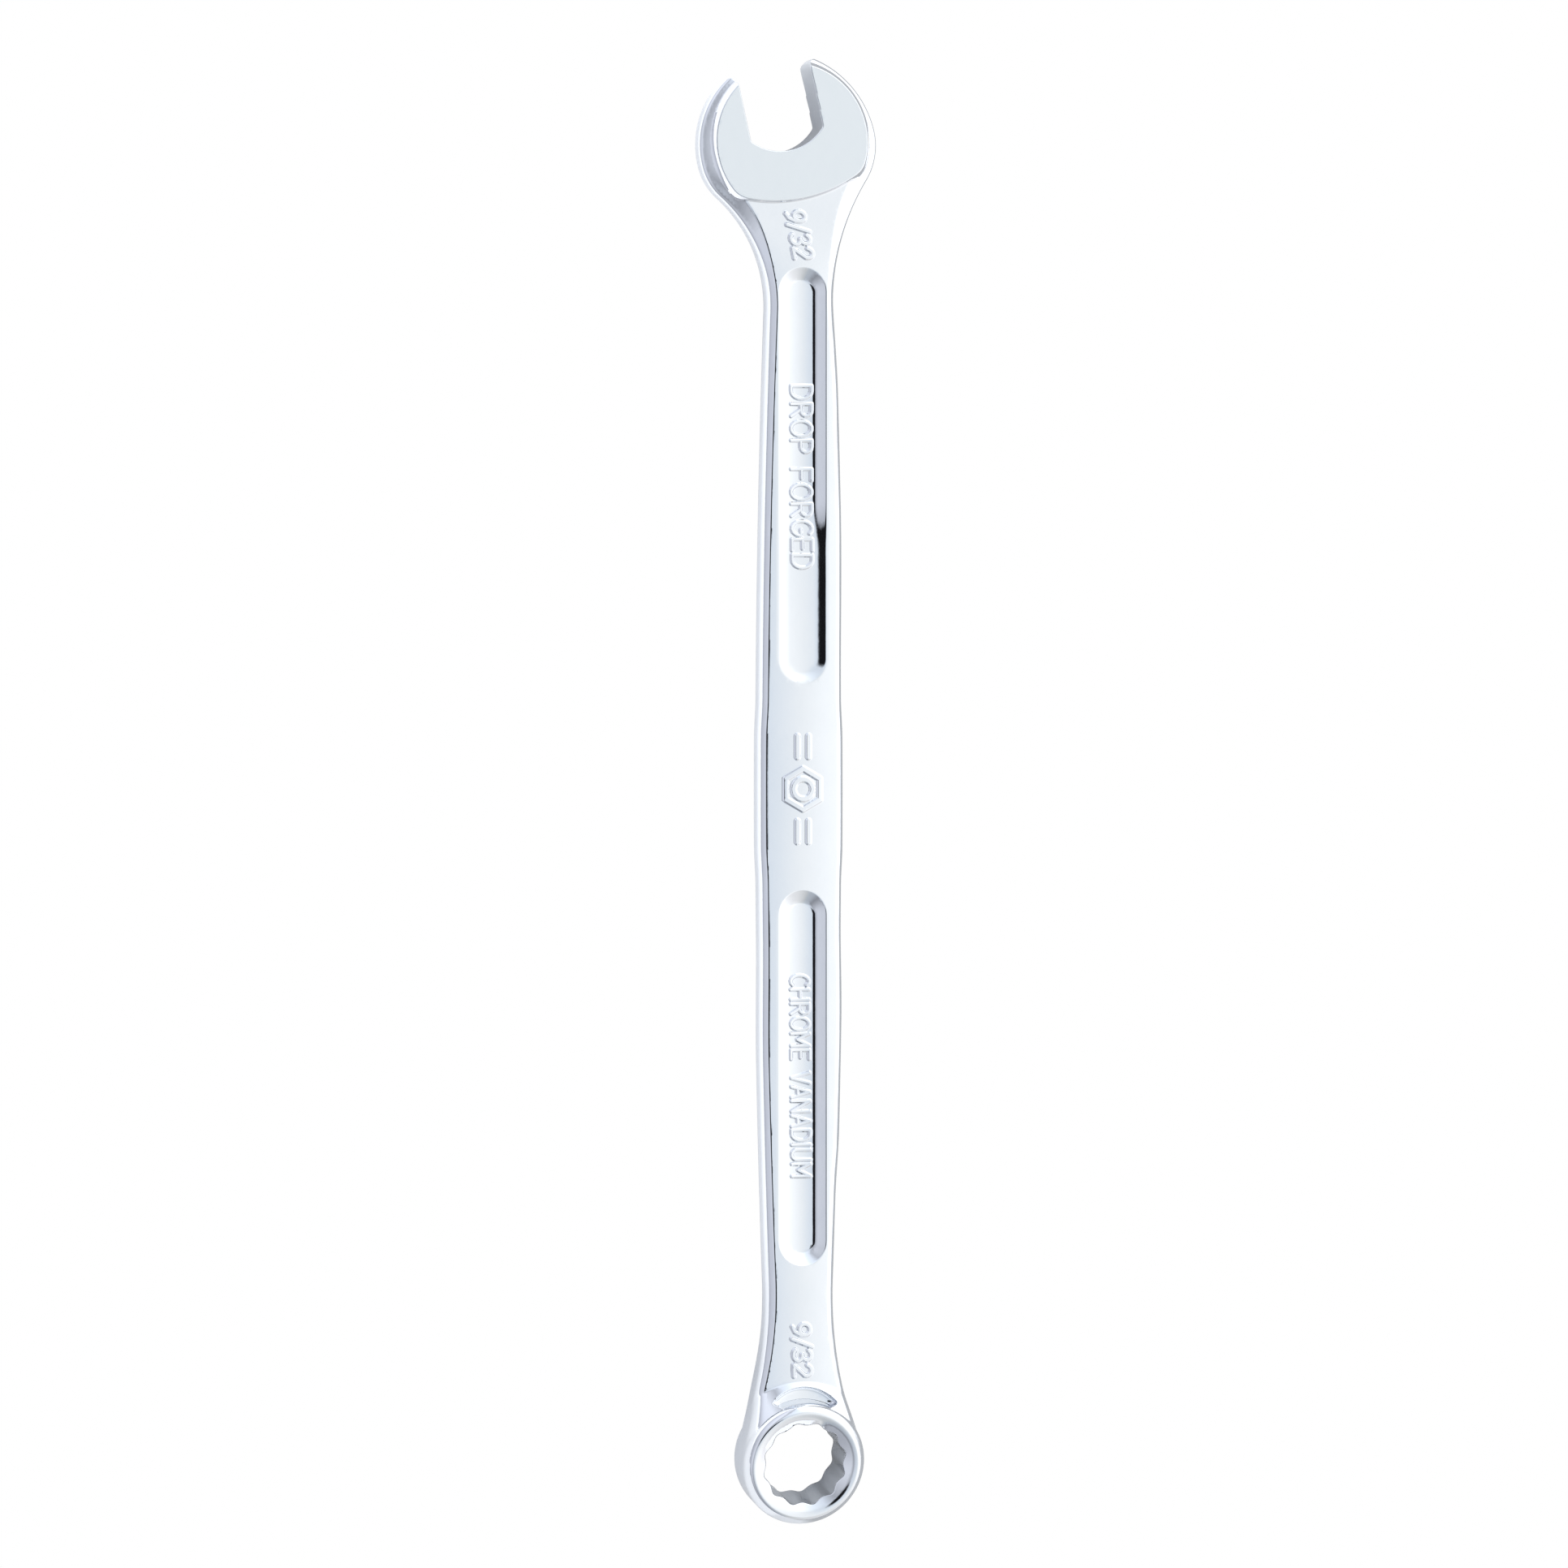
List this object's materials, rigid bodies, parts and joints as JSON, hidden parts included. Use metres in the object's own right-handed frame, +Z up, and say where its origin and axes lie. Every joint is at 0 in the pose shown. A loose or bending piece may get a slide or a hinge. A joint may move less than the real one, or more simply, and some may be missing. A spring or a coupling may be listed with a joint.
{
  "type": "combination wrench",
  "caption": "Slim chrome combination wrench for 9/32 inch nuts: an angled open jaw at one end, a tilted 12-point ring at the other, and a grooved grip between them.",
  "frame": {"origin": "middle of the bottom of the bounding box, with the wrench lying flat", "axes": "+Y along the shank towards the open jaw, +Z up out of the marked face, +X to the right of that face"},
  "size_m": [0.0176, 0.1398, 0.0076],
  "materials": {
    "chrome_steel": "polished chrome plate, with finely ground flat faces on the open end"
  },
  "bodies": {
    "root": {"open_end_head": "chrome_steel", "shank": "chrome_steel", "box_end_head": "chrome_steel"}
  },
  "joints": []
}
